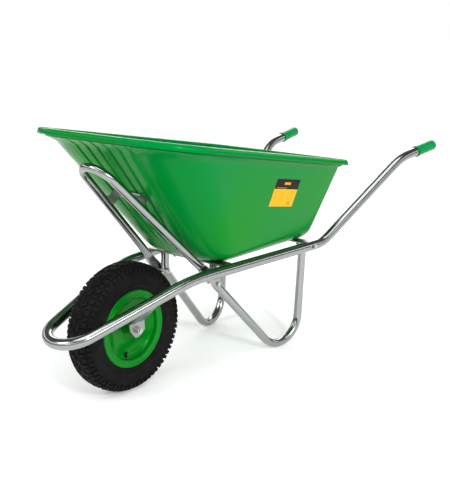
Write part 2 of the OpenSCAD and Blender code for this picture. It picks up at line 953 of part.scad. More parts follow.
module inner_tube() {
    color("black")
        difference() {
            at_axle(0)
                rotate_extrude()
                    difference() {
                        carcass(tube_inset, tube_bead_r);
                        carcass(tube_inset + tube_wall, tube_bead_r + tube_wall);
                    }
            in_valve(0)
                cylinder(h = 8 * tube_wall, r = valve_bore_r, center = true);
        }
}

// Places a part along the valve, from its root towards its tip
valve_run = valve_tip - valve_root;
module in_valve(along) {
    at_axle(0)
        rotate(-valve_angle)
            translate([valve_root.x, 0, valve_root.y])
                rotate([0, atan2(valve_run.x, valve_run.y), 0])
                    translate([0, 0, along])
                        children();
}

module valve_hole() {
    in_valve(0)
        cylinder(h = norm(valve_run) + 20, r = valve_r + 0.3);
}

valve_cap_h = 10;
valve_end_t = 6;
module valve_stem() {
    color("black")
        difference() {
            in_valve(0)
                cylinder(h = norm(valve_run) - valve_cap_h, r = valve_r);
            in_valve(-valve_end_t)
                cylinder(h = norm(valve_run) - valve_cap_h, r = valve_bore_r);
        }
}

module valve_cap() {
    color("black")
        in_valve(norm(valve_run) - valve_cap_h)
            cylinder(h = valve_cap_h, r = valve_r - 0.7);
}

frame_tube();
grip_left();
grip_right();
leg_left();
leg_right();
leg_bolts();
leg_washers();
leg_nuts();
support_hoop();
hoop_strap();
hoop_bolts();
hoop_nuts();
strap_bolts();
strap_washers();
strap_nuts();
front_crossbar();
rear_crossbar();
tray();
tray_bolts();
tray_washers();
tray_nuts();
tray_label();
axle_bracket_left();
axle_bracket_right();
axle_bolt();
axle_washers();
axle_nut();
axle_spacers();
axle_sleeve();
bearing_inner_rings();
bearing_outer_rings();
bearing_balls();
hub_tube();
rim_half_left();
rim_half_right();
tyre();
inner_tube();
valve_stem();
valve_cap();
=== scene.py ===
"""Wheelbarrow: moulded tray, bent tube frame, looped legs, tray hoop and air-filled wheel.

Metres, +X towards the wheel, +Y to the left hand of the person pushing, +Z up.
"""

import json
import math
from collections import namedtuple

import bmesh
import bpy
from bpy.props import FloatProperty, FloatVectorProperty, IntProperty, PointerProperty
from bpy.types import Operator, Panel, PropertyGroup
from mathutils import Matrix, Vector


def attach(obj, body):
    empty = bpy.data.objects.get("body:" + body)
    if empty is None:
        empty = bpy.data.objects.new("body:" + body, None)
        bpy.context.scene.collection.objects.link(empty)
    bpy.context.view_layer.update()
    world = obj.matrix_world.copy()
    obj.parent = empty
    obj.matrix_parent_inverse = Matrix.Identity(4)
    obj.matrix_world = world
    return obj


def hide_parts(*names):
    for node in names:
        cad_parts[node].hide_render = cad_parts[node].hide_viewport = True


bl_info = {
    "name": "Wheelbarrow",
    "version": (1, 0, 0),
    "blender": (4, 5, 0),
    "location": "3D View > Sidebar > Barrow",
    "description": "Builds the pieces and finishes of a single-wheel barrow on its frame",
    "category": "Object",
}

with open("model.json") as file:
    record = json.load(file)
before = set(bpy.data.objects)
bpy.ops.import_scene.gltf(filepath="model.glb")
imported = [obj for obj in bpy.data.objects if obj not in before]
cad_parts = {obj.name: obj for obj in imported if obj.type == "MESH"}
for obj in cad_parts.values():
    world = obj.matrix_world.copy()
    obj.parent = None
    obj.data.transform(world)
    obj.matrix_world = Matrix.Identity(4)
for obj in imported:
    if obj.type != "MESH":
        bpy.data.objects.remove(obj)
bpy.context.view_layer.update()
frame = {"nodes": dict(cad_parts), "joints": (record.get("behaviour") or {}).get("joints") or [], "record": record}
AXLE = Vector(frame["joints"][0]["pos_m"])

# ---- Measures shared by the pieces, along the barrow from the axle, in metres ----

RAIL_FRONT = Vector((-0.140, 0.151, 0.343))
RAIL_REAR = Vector((-0.740, 0.217, 0.349))
HANDLE_KNEE = Vector((-1.120, 0.300, 0.609))
HANDLE_END = Vector((-1.323, 0.323, 0.637))
LOOP_TOE = 0.2014
LOOP_DROP = 0.2864
RAIL_BEND = 0.110
KNEE_BEND = 0.180
LOOP_SIDE_BEND = 0.380
LOOP_BEND = 0.084
TUBE_R = 0.017
# squareness of a round section; flatter ones have more
ROUND = 2.0
# how much a round tube flattens and widens in the middle of an elbow
ELBOW_FLATTENING = 0.0004
ELBOW_WIDENING = 0.0002

LEG_TOP_FRONT = Vector((-0.288, 0.106, 0.3558))
LEG_BEND_FRONT = Vector((-0.288, 0.108, 0.290))
LEG_FOOT = Vector((-0.648, 0.174, -0.11525))
LEG_TOP_REAR = Vector((-0.676, 0.1785, 0.3558))
LEG_BENDS = (0.060, 0.090)
LEG_R = 0.014
FOOT_SQUEEZE = 0.10
FOOT_WIDENING = 0.35
FOOT_SQUARENESS = 5.0

HOOP_LOW = Vector((-0.216, 0.114, 0.360))
HOOP_HIGH = Vector((0.0613, 0.0621, 0.648))
HOOP_BEND = 0.060
HOOP_R = 0.0125
HOOP_BOLT = Vector((-0.283, 0.1276, 0.291))
PLATE_HALF_W = 0.017
PLATE_HALF_T = 0.003
PLATE_FLAT = 0.035
PLATE_LEAN = math.radians(45)
PLATE_RINGS = 22

TRAY_BASE = 0.362
RIM_HEIGHT = 0.777
RIM_RISE = 0.172
TRAY_WALL = 0.004
LIP_OUT = 0.022
LIP_DROP = 0.019
FLOOR_FILLET = 0.043
RIB_COUNT = 6
PlanShape = namedtuple("PlanShape", "front rear front_half rear_half front_corner rear_corner")
FLOOR_OUTLINE = PlanShape(front=-0.237, rear=-0.735, front_half=0.168, rear_half=0.178,
                          front_corner=0.102, rear_corner=0.052)
LIP_OUTLINE = PlanShape(front=0.128, rear=-0.788, front_half=0.332, rear_half=0.312,
                        front_corner=0.185, rear_corner=0.070)
SMALLEST_CORNER = 0.003
# points in each corner, along each side and across each rib of the outline
CORNER_STEPS = 18
SIDE_STEPS = 8
RIB_STEPS = 18
# rings up the walls between two shares of their height, and round their foot
WALL_RINGS = 20
WALL_FROM = 0.15
WALL_TO = 0.90
FOOT_RINGS = 8
# rings of the floor, as shares of the way from the foot of the walls to the middle
FLOOR_RINGS = (0.25, 0.6, 0.96)
# shares of the wall height over which the ribs rise at the foot and fade under the lip
RIBS_START = 0.13
RIBS_FULL = 0.23
RIBS_FADE = 0.89
RIBS_END = 0.95
# heights of the wave across a rib where its groove ends and where its top starts
GROOVE_EDGE = 0.10
RIB_EDGE = 0.52

GRIP_R = 0.019
GRIP_LENGTH = 0.116
GRIP_CAP = 0.006
GRIP_EDGE = 0.009
GRIP_EDGE_STEPS = 8

SECTION_AT = 0.150
CARCASS_R = 0.0455
SHOULDER_SWELL = 0.12
VALVE_ANGLE = math.radians(-75)
VALVE_ROOT = (0.1006, 0.024)
VALVE_TIP = (0.074, 0.024)
VALVE_CAP = 0.010
RIM_SHEET = 0.002
HUB_BORE_R = 0.0162
HUB_R = 0.019
HUB_HALF_L = 0.0398

# Lugs in one pitch of the tread, on its left half: four corners each, as a share of the pitch
# round the wheel and degrees of lean from the crown. The last two are the shoulder lugs.
CROWN_LUGS = (
    ((0.04, 2), (0.58, 2), (0.76, 21), (0.22, 21)),
    ((0.50, 24), (0.92, 24), (1.02, 43), (0.56, 43)),
    ((0.02, 25), (0.32, 25), (0.38, 42), (0.10, 42)),
)
SHOULDER_LUGS = (
    ((0.10, 46), (0.46, 46), (0.38, 66), (0.18, 66)),
    ((0.62, 46), (0.94, 46), (0.86, 60), (0.68, 60)),
)
SHOULDER_LUG_LIFT = 1.3
LUG_ROOT = -0.0015
LUG_EDGE = 0.0008

LABEL_REAR = -0.530
LABEL_FRONT = -0.403
LABEL_LOW = 0.515
LABEL_HIGH = 0.606
LABEL_COLUMNS = 50
LABEL_ROWS = 56
LABEL_BACK = 0.0004
LABEL_FACE = 0.0009
# how far a full share along or up the left wall goes, near the label
WALL_RUN = 0.56
WALL_RISE = 0.33

# Areas of the label as shares of its width from the wheel end and of its height:
# from, to, bottom, top.
BAND_AREA = (0.0, 1.0, 0.64, 1.0)
PATCH_AREA = (0.36, 0.62, 0.80, 0.90)
RULE_AREA = (0.10, 0.52, 0.68, 0.705)
SEAL_AREA = (0.70, 0.86, 0.08, 0.20)
BARS_AREA = (0.06, 0.94, 0.25, 0.58)
BAR_COLUMNS = 3.2
BAR_LENGTH = 0.55
BAR_ROWS = 14.0
BAR_HEIGHT = 0.30
FIELD, BAND, PATCH, BARS = range(4)

# widths of the rounded edges on the pieces that keep the frame's own shape
BEVELLED = {
    "hoop_strap": 0.0009,
    "front_crossbar": 0.0009,
    "rear_crossbar": 0.0009,
    "axle_bracket_left": 0.0008,
    "axle_bracket_right": 0.0008,
    "axle_bolt": 0.0007,
    "axle_nut": 0.0007,
    "leg_bolts": 0.0006,
    "leg_nuts": 0.0006,
    "hoop_bolts": 0.0006,
    "hoop_nuts": 0.0006,
    "strap_bolts": 0.0006,
    "strap_nuts": 0.0006,
    "tray_bolts": 0.0008,
    "tray_nuts": 0.0006,
}
BEVEL_FROM = math.radians(35)
WELD_WITHIN = 0.00001


# ---- Sizes and colours that a maker may change ----

def length(name, text, default, low, high):
    return FloatProperty(name=name, description=text, default=default, min=low, max=high,
                         unit="LENGTH", subtype="DISTANCE", precision=4)


def colour(name, text, default):
    return FloatVectorProperty(name=name, description=text, default=default, size=3,
                               min=0.0, max=1.0, subtype="COLOR")


class BarrowSizes(PropertyGroup):
    """Sizes of the details that the frame doesn't fix."""
    rib_height: length("Rib height", "How far the ribs stand out of the front wall", 0.007, 0.0, 0.01)
    lug_height: length("Lug height", "Height of the tread lugs over the carcass", 0.0045, 0.001, 0.005)
    lug_pitches: IntProperty(name="Lug rows", description="Rows of lugs round the tyre",
                             default=34, min=12, max=60)
    tube_sides: IntProperty(name="Tube sides", description="Faces round each bent tube",
                            default=40, min=12, max=96)
    lathe_sides: IntProperty(name="Lathe sides", description="Faces round each turned piece",
                             default=128, min=32, max=256)


class BarrowColours(PropertyGroup):
    """Colours of the finishes."""
    tray: colour("Tray", "Moulded plastic of the tray", (0.0, 0.205, 0.0))
    grip: colour("Grip", "Plastic of the grips", (0.0, 0.235, 0.04))
    rim: colour("Rim", "Paint of the wheel rim", (0.0, 0.175, 0.008))
    zinc: colour("Zinc", "Plating of the tubes and plates", (0.335, 0.345, 0.34))
    fixing: colour("Fixings", "Plating of the bolts and nuts", (0.52, 0.52, 0.51))
    rubber: colour("Rubber", "Rubber of the tyre", (0.0028, 0.0024, 0.0024))
    label_band: colour("Label band", "Dark top band of the label", (0.006, 0.005, 0.003))
    label_field: colour("Label field", "Main field of the label", (0.90, 0.42, 0.008))
    label_patch: colour("Label patch", "Small patch in the band", (0.72, 0.33, 0.03))


# ---- Finishes ----

class Finish:
    """A node material that is wired up in a few calls."""

    def __init__(self, name):
        self.material = bpy.data.materials.new(name)
        self.material.use_nodes = True
        self.tree = self.material.node_tree
        self.shader = self.tree.nodes["Principled BSDF"]
        self.place = self.node("ShaderNodeTexCoord").outputs["Object"]

    def node(self, kind, **settings):
        made = self.tree.nodes.new(kind)
        for key, value in settings.items():
            setattr(made, key, value)
        return made

    def link(self, a, b):
        self.tree.links.new(a, b)

    def noise(self, scale, detail=3.0, stretch=None):
        """Cloudy grey from 0 to 1; a higher scale makes it finer."""
        made = self.node("ShaderNodeTexNoise")
        made.inputs["Scale"].default_value = scale
        made.inputs["Detail"].default_value = detail
        source = self.place
        if stretch:
            mapping = self.node("ShaderNodeMapping")
            mapping.inputs["Scale"].default_value = stretch
            self.link(self.place, mapping.inputs["Vector"])
            source = mapping.outputs["Vector"]
        self.link(source, made.inputs["Vector"])
        return made.outputs["Fac"]

    def cells(self, scale):
        """One random grey for each cell."""
        made = self.node("ShaderNodeTexVoronoi", feature="F1")
        made.inputs["Scale"].default_value = scale
        self.link(self.place, made.inputs["Vector"])
        grey = self.node("ShaderNodeRGBToBW")
        self.link(made.outputs["Color"], grey.inputs["Color"])
        return grey.outputs["Val"]

    def spread(self, value, low, high, from_low=0.3, from_high=0.7):
        """Stretches the middle of a grey to the range from low to high."""
        made = self.node("ShaderNodeMapRange")
        made.inputs["From Min"].default_value = from_low
        made.inputs["From Max"].default_value = from_high
        made.inputs["To Min"].default_value = low
        made.inputs["To Max"].default_value = high
        self.link(value, made.inputs["Value"])
        return made.outputs["Result"]

    def edges(self, low, high):
        """1 on sharp outer edges and 0 elsewhere."""
        geometry = self.node("ShaderNodeNewGeometry")
        return self.spread(geometry.outputs["Pointiness"], 0.0, 1.0, low, high)

    def mix(self, factor, a, b):
        """Mixes two colours: the node keeps its colour sockets after its number and vector ones."""
        made = self.node("ShaderNodeMix", data_type="RGBA")
        self.link(factor, made.inputs[0])
        for socket, value in ((made.inputs[6], a), (made.inputs[7], b)):
            if isinstance(value, bpy.types.NodeSocket):
                self.link(value, socket)
            else:
                socket.default_value = (*value, 1.0)
        return made.outputs[2]

    def times(self, a, b):
        made = self.node("ShaderNodeMath", operation="MULTIPLY")
        first, second = made.inputs[0], made.inputs[1]
        self.link(a, first)
        if isinstance(b, bpy.types.NodeSocket):
            self.link(b, second)
        else:
            second.default_value = b
        return made.outputs["Value"]

    def bump(self, height, strength, distance=0.001):
        made = self.node("ShaderNodeBump")
        made.inputs["Strength"].default_value = strength
        made.inputs["Distance"].default_value = distance
        self.link(height, made.inputs["Height"])
        self.link(made.outputs["Normal"], self.shader.inputs["Normal"])

    def set(self, **values):
        for key, value in values.items():
            self.shader.inputs[key.replace("_", " ")].default_value = value

    def feed(self, socket, value):
        self.link(value, self.shader.inputs[socket])


def shade(base, factor):
    """A lighter or darker shade of a colour."""
    return tuple(min(1.0, c * factor) for c in base)


def toward(base, other, share):
    """A colour part of the way to another."""
    return tuple(a + (b - a) * share for a, b in zip(base, other))


def tinted(base, whiteness=0.08):
    """Colour of the shine: the hue of the base, so that a vivid colour stays vivid."""
    peak = max(base)
    return (*(whiteness + (1.0 - whiteness) * c / peak for c in base), 1.0)


def glossy_plastic(name, base, rough=(0.16, 0.26), ripple=0.02):
    """Moulded plastic: slow colour drift, partly toward a teal that is a painted reflection of cool light, fine
    specks, orange-peel skin, rubbed edges.
    """
    made = Finish(name)
    red, green, _ = base
    # painted reflection: the slow drift runs at random toward a teal tint that stands in for cool light mirrored
    # by the plastic
    teal_painted_reflection = toward(base, (red, green * 0.9, green * 0.35), 0.6)
    drift = made.mix(made.spread(made.noise(1.7, 1.0), 0.0, 1.0), teal_painted_reflection, shade(base, 1.03))
    specks = made.spread(made.noise(160.0), 0.0, 0.25, 0.62, 0.75)
    dusty = made.mix(specks, drift, shade(base, 1.12))
    worn = made.mix(made.times(made.edges(0.56, 0.66), 0.35), dusty, shade(base, 1.35))
    made.feed("Base Color", worn)
    made.feed("Roughness", made.spread(made.noise(24.0), *rough))
    made.bump(made.noise(70.0, 2.0), ripple)
    made.set(IOR=1.24, Specular_IOR_Level=0.5, Specular_Tint=tinted(base))
    return made.material


def gloss_paint(name, base):
    """Sprayed enamel over pressed steel, chipped a little along its edges."""
    made = Finish(name)
    drift = made.mix(made.spread(made.noise(11.0), 0.0, 1.0), shade(base, 0.90), shade(base, 1.08))
    chips = made.times(made.edges(0.54, 0.66), made.spread(made.noise(420.0), 0.0, 0.5, 0.58, 0.66))
    bare_steel = (0.32, 0.33, 0.33)
    made.feed("Base Color", made.mix(chips, drift, bare_steel))
    made.feed("Roughness", made.spread(made.noise(45.0), 0.10, 0.22))
    made.bump(made.noise(130.0, 2.0), 0.05)
    made.set(IOR=1.26, Specular_IOR_Level=0.5, Specular_Tint=tinted(base), Coat_Weight=0.12,
             Coat_Roughness=0.04)
    return made.material


def zinc(name, base, rough=(0.14, 0.24), spangle=70.0):
    """Plated steel: faint crystal cells, drawn streaks and dull spots."""
    made = Finish(name)
    cells = made.mix(made.cells(spangle), shade(base, 0.96), shade(base, 1.03))
    stains = made.spread(made.noise(9.0, 5.0), 0.0, 0.45, 0.52, 0.74)
    made.feed("Base Color", made.mix(stains, cells, shade(base, 0.85)))
    made.feed("Roughness", made.spread(made.noise(38.0, 5.0), *rough))
    made.bump(made.noise(55.0, 4.0, stretch=(0.25, 1.0, 1.0)), 0.018)
    made.set(Metallic=1.0)
    return made.material


def rubber(name, base, rough=(0.58, 0.80), scuff=0.5):
    """Black rubber with a dusty bloom and fine moulding grain."""
    made = Finish(name)
    dust = (0.03, 0.028, 0.027)
    rubbed = (0.016, 0.015, 0.015)
    bloom = made.spread(made.noise(16.0, 5.0), 0.0, scuff, 0.45, 0.8)
    body = made.mix(bloom, base, toward(base, dust, 0.35))
    made.feed("Base Color", made.mix(made.times(made.edges(0.53, 0.64), 0.5), body, rubbed))
    made.feed("Roughness", made.spread(made.noise(60.0), *rough))
    made.bump(made.noise(480.0, 2.0), 0.22, 0.0006)
    made.set(IOR=1.3, Specular_IOR_Level=0.3)
    return made.material


def printed_film(name, base):
    """Printed label film: slightly mottled ink under a satin skin."""
    made = Finish(name)
    mottle = made.spread(made.noise(210.0), 0.0, 1.0)
    made.feed("Base Color", made.mix(mottle, shade(base, 0.92), base))
    made.feed("Roughness", made.spread(made.noise(60.0), 0.34, 0.5))
    made.bump(made.noise(240.0), 0.03)
    made.set(IOR=1.25, Specular_IOR_Level=0.3)
    return made.material


def finish_of(name, make, *values, **settings):
    """The named material, made the first time that it is asked for."""
    return bpy.data.materials.get(name) or make(name, *values, **settings)


def zinc_tube_finish():
    return finish_of("zinc tube", zinc, colours().zinc)


def zinc_plate_finish():
    return finish_of("zinc plate", zinc, shade(colours().zinc, 0.97), rough=(0.26, 0.42), spangle=120.0)


def fixing_finish():
    return finish_of("plated fixing", zinc, colours().fixing, rough=(0.22, 0.38), spangle=300.0)


def bearing_finish():
    return finish_of("ground steel", zinc, shade(colours().fixing, 0.9), rough=(0.12, 0.2), spangle=500.0)


def soft_rubber_finish():
    return finish_of("soft rubber", rubber, colours().rubber, rough=(0.42, 0.6), scuff=0.25)


# ---- Mesh helpers ----

def sizes():
    return bpy.context.scene.barrow_sizes


def colours():
    return bpy.context.scene.barrow_colours


def smooth(share):
    """Eases a share, held between 0 and 1, in and out."""
    share = max(0.0, min(1.0, share))
    return share * share * (3 - 2 * share)


def from_axle(v):
    """A place in the barrow's own frame from one whose x is measured from the axle."""
    return Vector((AXLE.x + v[0], v[1], v[2]))


def mirrored(v):
    """The same place on the other side of the barrow."""
    return Vector((v[0], -v[1], v[2]))


def piece(name, verts, faces, body, materials, face_materials=None):
    """Adds a smooth closed mesh that rides on a body and takes a slot's finish."""
    mesh = bpy.data.meshes.new(name)
    mesh.from_pydata([tuple(v) for v in verts], [], faces)
    for material in materials:
        mesh.materials.append(material)
    if face_materials:
        mesh.polygons.foreach_set("material_index", face_materials)
    tidy = bmesh.new()
    tidy.from_mesh(mesh)
    bmesh.ops.recalc_face_normals(tidy, faces=tidy.faces)
    tidy.to_mesh(mesh)
    tidy.free()
    mesh.shade_smooth()
    made = bpy.data.objects.new(name, mesh)
    bpy.context.scene.collection.objects.link(made)
    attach(made, body)
    return made


def sharpen(made, degrees=35.0):
    """Keeps edges steeper than an angle crisp, and the rest smooth."""
    made.data.set_sharp_from_angle(angle=math.radians(degrees))


def ring_faces(rings, count, wrap=False):
    """Quads between rings of the same number of points, with a cap at each end, or with the
    last ring joined to the first."""
    faces = []
    for k in range(rings if wrap else rings - 1):
        low, high = k * count, (k + 1) % rings * count
        for i in range(count):
            j = (i + 1) % count
            faces.append((low + i, low + j, high + j, high + i))
    if not wrap:
        faces.append(tuple(range(count - 1, -1, -1)))
        faces.append(tuple((rings - 1) * count + i for i in range(count)))
    return faces


def softened(line, rounds=2):
    """Cuts the corners of a line of points, round after round, and keeps its two ends."""
    points = [Vector(p) for p in line]
    for _ in range(rounds):
        cut = [points[0]]
        for a, b in zip(points, points[1:]):
            cut += [a.lerp(b, 0.25), a.lerp(b, 0.75)]
        points = cut + [points[-1]]
    return points


def bent_path(corners, bends, arc_step=math.radians(5.0)):
    """Points along straight lengths with a round elbow at each inner corner.
    Gives (point, share of bend) pairs: 1 in the middle of an elbow and 0 on a straight."""
    path = [(corners[0], 0.0)]
    for i, bend in enumerate(bends, 1):
        before = (corners[i] - corners[i - 1]).normalized()
        after = (corners[i + 1] - corners[i]).normalized()
        turn = before.angle(after)
        start = corners[i] - before * bend * math.tan(turn / 2)
        inward = (after - before * before.dot(after)).normalized()
        steps = max(4, round(turn / arc_step))
        for k in range(steps + 1):
            angle = turn * k / steps
            place = start + before * bend * math.sin(angle) + inward * bend * (1 - math.cos(angle))
            path.append((place, math.sin(math.pi * k / steps)))
    path.append((corners[-1], 0.0))
    return path


def refined(path, longest=0.03):
    """Adds points so that no step of a path is longer than a limit."""
    fine = [path[0]]
    for (a, share_a), (b, share_b) in zip(path, path[1:]):
        steps = max(1, math.ceil((b - a).length / longest))
        for k in range(1, steps + 1):
            fine.append((a.lerp(b, k / steps), share_a + (share_b - share_a) * k / steps))
    return fine


def swept(points, first_normal, sections):
    """Rings along a line of points. Each section is (half width along the carried normal,
    half width across it, squareness): ROUND, or more for flatter sides."""
    sides = sizes().tube_sides
    normal = first_normal
    verts = []
    for i, (place, (across_n, across_b, square)) in enumerate(zip(points, sections)):
        ahead = points[min(i + 1, len(points) - 1)] - points[max(i - 1, 0)]
        tangent = ahead.normalized()
        normal = (normal - tangent * normal.dot(tangent)).normalized()
        side = tangent.cross(normal)
        for k in range(sides):
            angle = math.tau * k / sides
            c, s = math.cos(angle), math.sin(angle)
            c = math.copysign(abs(c) ** (2 / square), c)
            s = math.copysign(abs(s) ** (2 / square), s)
            verts.append(place + normal * across_n * c + side * across_b * s)
    return verts, ring_faces(len(points), sides)


def on_wheel(x, z, along):
    """A point of a turned wheel piece: along is the distance from its middle plane."""
    return Vector((AXLE.x + x, along, AXLE.z + z))


def lathe(profile):
    """Turns a closed profile of (radius, distance along the axle) once round the axle."""
    sides = sizes().lathe_sides
    verts = []
    for k in range(sides):
        angle = math.tau * k / sides
        for r, along in profile:
            verts.append(on_wheel(r * math.cos(angle), r * math.sin(angle), along))
    return verts, ring_faces(sides, len(profile), wrap=True)


def spindle(profile, origin, axis):
    """Turns an open profile that starts and ends on its own axis into a closed solid."""
    sides = sizes().tube_sides
    upright = axis.orthogonal().normalized()
    side = axis.cross(upright)
    verts = []
    for r, along in profile:
        for k in range(sides):
            angle = math.tau * k / sides
            verts.append(origin + axis * along + (upright * math.cos(angle) + side * math.sin(angle)) * r)
    return verts, ring_faces(len(profile), sides)


def both_faces(line, thickness):
    """Closed profile of a sheet whose middle is a line of (radius, distance) points."""
    outer, inner = [], []
    for i, p in enumerate(line):
        way = (line[min(i + 1, len(line) - 1)] - line[max(i - 1, 0)]).normalized()
        across = Vector((-way.y, way.x)) * thickness / 2
        outer.append(p + across)
        inner.append(p - across)
    return outer + inner[::-1]


# ---- Bent tubes ----

def frame_corners():
    """Corners of the frame tube from the right grip round the wheel to the left grip."""
    apex = Vector((RAIL_FRONT.x + RAIL_FRONT.y / LOOP_TOE, 0.0,
                   RAIL_FRONT.z - LOOP_DROP * RAIL_FRONT.y / LOOP_TOE))
    left = [RAIL_FRONT, RAIL_REAR, HANDLE_KNEE, HANDLE_END]
    line = [mirrored(p) for p in reversed(left)] + [apex] + left
    return [from_axle(p) for p in line]


def build_frame_tube():
    bends = [KNEE_BEND, RAIL_BEND, LOOP_SIDE_BEND, LOOP_BEND, LOOP_SIDE_BEND, RAIL_BEND, KNEE_BEND]
    path = refined(bent_path(frame_corners(), bends))
    sections = [(TUBE_R - ELBOW_FLATTENING * share, TUBE_R + ELBOW_WIDENING * share, ROUND)
                for _, share in path]
    verts, faces = swept([p for p, _ in path], Vector((0, 0, 1)), sections)
    made = piece("bent_frame_tube", verts, faces, "frame", [zinc_tube_finish()])
    sharpen(made, 60)
    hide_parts("frame_tube")


def build_leg(side, name, node):
    """One leg: a tube bent to a foot, where it's a little squeezed, and set down on the floor."""
    corners = [from_axle(p) for p in (LEG_TOP_FRONT, LEG_BEND_FRONT, LEG_FOOT, LEG_TOP_REAR)]
    if side < 0:
        corners = [mirrored(p) for p in corners]
    path = refined(bent_path(corners, LEG_BENDS))
    plane = (corners[2] - corners[1]).cross(corners[3] - corners[2]).normalized()
    sections = []
    for place, share in path:
        in_foot = place.z < LEG_TOP_FRONT.z / 2
        squeeze = FOOT_SQUEEZE * (share if in_foot else share / 3)
        sections.append((LEG_R * (1 + FOOT_WIDENING * squeeze), LEG_R * (1 - squeeze),
                         ROUND + FOOT_SQUARENESS * squeeze))
    gap = min(place.z - half_height for (place, _), (_, half_height, _) in zip(path, sections))
    points = [place - Vector((0, 0, gap * share)) for place, share in path]
    verts, faces = swept(points, plane, sections)
    made = piece(name, verts, faces, "frame", [zinc_tube_finish()])
    sharpen(made, 60)
    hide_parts(node)


def pressed_end(bolt, low):
    """Places and sections of one end of the hoop: a rounded flat plate that opens out into
    the round tube at its upper end."""
    tip_way = Vector((math.cos(PLATE_LEAN), 0, math.sin(PLATE_LEAN)))
    reach = (low - bolt).dot(tip_way)
    smallest_tip = 0.06
    flat_squareness = 6.0
    rings = []
    for k in range(PLATE_RINGS):
        along = -PLATE_HALF_W + (reach + PLATE_HALF_W) * k / PLATE_RINGS
        ease = smooth((along - PLATE_FLAT) / (reach - PLATE_FLAT))
        tip = 1 - max(0.0, -along / PLATE_HALF_W) ** 2
        half_w = (PLATE_HALF_W + (HOOP_R - PLATE_HALF_W) * ease) * max(math.sqrt(tip), smallest_tip)
        half_t = PLATE_HALF_T + (HOOP_R - PLATE_HALF_T) * ease
        place = (bolt + tip_way * along).lerp(low, ease)
        rings.append((place, (half_w, half_t, ROUND + flat_squareness * (1 - ease))))
    return rings


def build_hoop():
    """Tray hoop: round tube whose two ends are pressed flat and rounded off."""
    low, high, bolt = (from_axle(p) for p in (HOOP_LOW, HOOP_HIGH, HOOP_BOLT))
    way = (high - low).normalized()
    apex = low + way * (low.y / -way.y)
    path = refined(bent_path([low, apex, mirrored(low)], [HOOP_BEND]), 0.02)
    slope = Vector((way.x, 0, way.z)).normalized()
    plane = Vector((-slope.z, 0, slope.x))
    left_end = pressed_end(bolt, low)
    tube = [(place, (HOOP_R, HOOP_R, ROUND)) for place, _ in path]
    right_end = [(mirrored(place), section) for place, section in reversed(left_end)]
    whole = left_end + tube + right_end
    verts, faces = swept([p for p, _ in whole], plane, [s for _, s in whole])
    made = piece("tray_hoop", verts, faces, "frame", [zinc_tube_finish()])
    sharpen(made, 50)
    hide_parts("support_hoop")


class BARROW_OT_tubes(Operator):
    """Bends the frame tube, the two legs and the tray hoop."""
    bl_idname = "barrow.tubes"
    bl_label = "Tubes"

    def execute(self, context):
        build_frame_tube()
        build_leg(1, "bent_leg_left", "leg_left")
        build_leg(-1, "bent_leg_right", "leg_right")
        build_hoop()
        return {"FINISHED"}


# ---- Tray ----

def corner(at, before, after, radius):
    """Points of one rounded corner in plan, from the side before it to the side after."""
    to_before = (before - at).normalized()
    to_after = (after - at).normalized()
    half = to_before.angle(to_after) / 2
    middle = at + (to_before + to_after).normalized() * radius / math.sin(half)
    first = at + to_before * radius / math.tan(half) - middle
    last = at + to_after * radius / math.tan(half) - middle
    way = 1 if first.x * last.y - first.y * last.x > 0 else -1
    start = math.atan2(first.y, first.x)
    points = []
    for i in range(CORNER_STEPS + 1):
        angle = start + way * (math.pi - 2 * half) * i / CORNER_STEPS
        points.append(middle + Vector((math.cos(angle), math.sin(angle))) * radius)
    return points


def outline(shape, grow):
    """Closed outline of the tray in plan, grown outwards: left side forwards, then back."""
    front, rear = shape.front + grow, shape.rear - grow
    front_half, rear_half = shape.front_half + grow, shape.rear_half + grow
    front_r = max(shape.front_corner + grow, SMALLEST_CORNER)
    rear_r = max(shape.rear_corner + grow, SMALLEST_CORNER)
    front_left, rear_left = Vector((front, front_half)), Vector((rear, rear_half))
    front_right, rear_right = Vector((front, -front_half)), Vector((rear, -rear_half))
    front_bend = corner(front_left, rear_left, front_right, front_r)
    rear_bend = corner(rear_left, rear_right, front_left, rear_r)
    side = [rear_bend[-1].lerp(front_bend[0], i / SIDE_STEPS) for i in range(1, SIDE_STEPS)]
    left = rear_bend + side + front_bend
    flats = RIB_COUNT * RIB_STEPS
    end = front_bend[-1]
    flat = [Vector((end.x, end.y * (1 - 2 * i / flats))) for i in range(1, flats)]
    return left + flat + [Vector((p.x, -p.y)) for p in reversed(left)]


# the flat front wall's place in an outline: its first point and how many it has
FIRST_FLAT = 2 * (CORNER_STEPS + 1) + SIDE_STEPS - 1
FLAT_POINTS = RIB_COUNT * RIB_STEPS - 1


def rib_push(i):
    """Share of the rib height at one outline point: broad ribs with narrow grooves between."""
    if not FIRST_FLAT <= i < FIRST_FLAT + FLAT_POINTS:
        return 0.0
    wave = abs(math.sin(math.pi * (i - FIRST_FLAT + 1) / RIB_STEPS))
    return smooth((wave - GROOVE_EDGE) / (RIB_EDGE - GROOVE_EDGE))


def rim_z(x):
    """Height of the sloping rim at a distance from the axle."""
    return RIM_HEIGHT + RIM_RISE * x


def tray_ring(up, grow, rib, lift=0.0):
    """One ring of the wall at a share of its height, grown outwards, with ribs of a height."""
    low = outline(FLOOR_OUTLINE, grow)
    high = outline(LIP_OUTLINE, grow - LIP_OUT)
    ring = []
    for i, (a, b) in enumerate(zip(low, high)):
        flat = a.lerp(b, up)
        z = TRAY_BASE + (rim_z(b.x) - TRAY_BASE) * up + lift
        ring.append(from_axle((flat.x + rib * rib_push(i), flat.y, z)))
    return ring


def foot_ring(angle, inset):
    """One ring of the rounded foot of the walls, inset by the wall for its inner face."""
    reach = FLOOR_FILLET - inset
    low = outline(FLOOR_OUTLINE, -inset - reach * (1 - math.sin(angle)))
    high = outline(LIP_OUTLINE, -LIP_OUT)
    rise = inset + reach * (1 - math.cos(angle))
    ring = []
    for a, b in zip(low, high):
        flat = a.lerp(b, rise / (rim_z(b.x) - TRAY_BASE))
        ring.append(from_axle((flat.x, flat.y, TRAY_BASE + rise)))
    return ring


